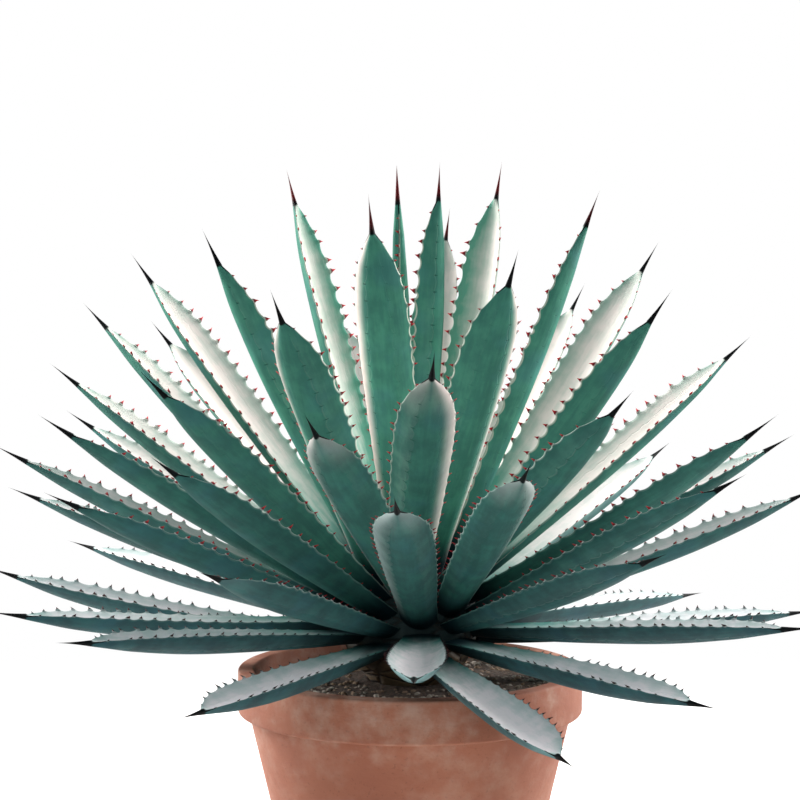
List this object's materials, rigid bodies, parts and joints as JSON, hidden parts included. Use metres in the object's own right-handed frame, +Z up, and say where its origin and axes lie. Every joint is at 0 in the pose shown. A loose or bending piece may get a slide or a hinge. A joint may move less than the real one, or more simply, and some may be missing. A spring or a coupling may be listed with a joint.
{
  "type": "potted blue agave",
  "caption": "Blue agave rosette of stiff toothed leaves with dark end spines, growing in soil in a plain round clay pot.",
  "frame": {"origin": "centre of the pot's foot, on the surface that it stands on", "axes": "+Z up along the stem, -Y towards the viewer of the picture, +X to the viewer's right"},
  "size_m": [0.7461, 0.7378, 0.6297],
  "materials": {
    "clay": "matte unglazed terracotta with faint lime bloom",
    "soil": "loose gritty potting soil",
    "stem": "matte fibrous",
    "leaf": "waxy matte blue-green with a pale bloom, red-brown teeth and a dark end spine",
    "heart": "waxy matte green, furled, with a dark red end spine"
  },
  "bodies": {
    "root": {"pot": "clay", "soil": "soil", "stem": "stem", "heart": "heart", "leaf_01": "leaf", "leaf_02": "leaf", "leaf_03": "leaf", "leaf_04": "leaf", "leaf_05": "leaf", "leaf_06": "leaf", "leaf_07": "leaf", "leaf_08": "leaf", "leaf_09": "leaf", "leaf_10": "leaf", "leaf_11": "leaf", "leaf_12": "leaf", "leaf_13": "leaf", "leaf_14": "leaf", "leaf_15": "leaf", "leaf_16": "leaf", "leaf_17": "leaf", "leaf_18": "leaf", "leaf_19": "leaf", "leaf_20": "leaf", "leaf_21": "leaf", "leaf_22": "leaf", "leaf_23": "leaf", "leaf_24": "leaf", "leaf_25": "leaf", "leaf_26": "leaf", "leaf_27": "leaf", "leaf_28": "leaf", "leaf_29": "leaf", "leaf_30": "leaf", "leaf_31": "leaf", "leaf_32": "leaf", "leaf_33": "leaf", "leaf_34": "leaf", "leaf_35": "leaf", "leaf_36": "leaf", "leaf_37": "leaf", "leaf_38": "leaf", "leaf_39": "leaf", "leaf_40": "leaf", "leaf_41": "leaf", "leaf_42": "leaf", "leaf_43": "leaf", "leaf_44": "leaf", "leaf_45": "leaf", "leaf_46": "leaf", "leaf_47": "leaf", "leaf_48": "leaf", "leaf_49": "leaf", "leaf_50": "leaf", "leaf_51": "leaf", "leaf_52": "leaf", "leaf_53": "leaf", "leaf_54": "leaf", "leaf_55": "leaf", "leaf_56": "leaf"}
  },
  "joints": []
}
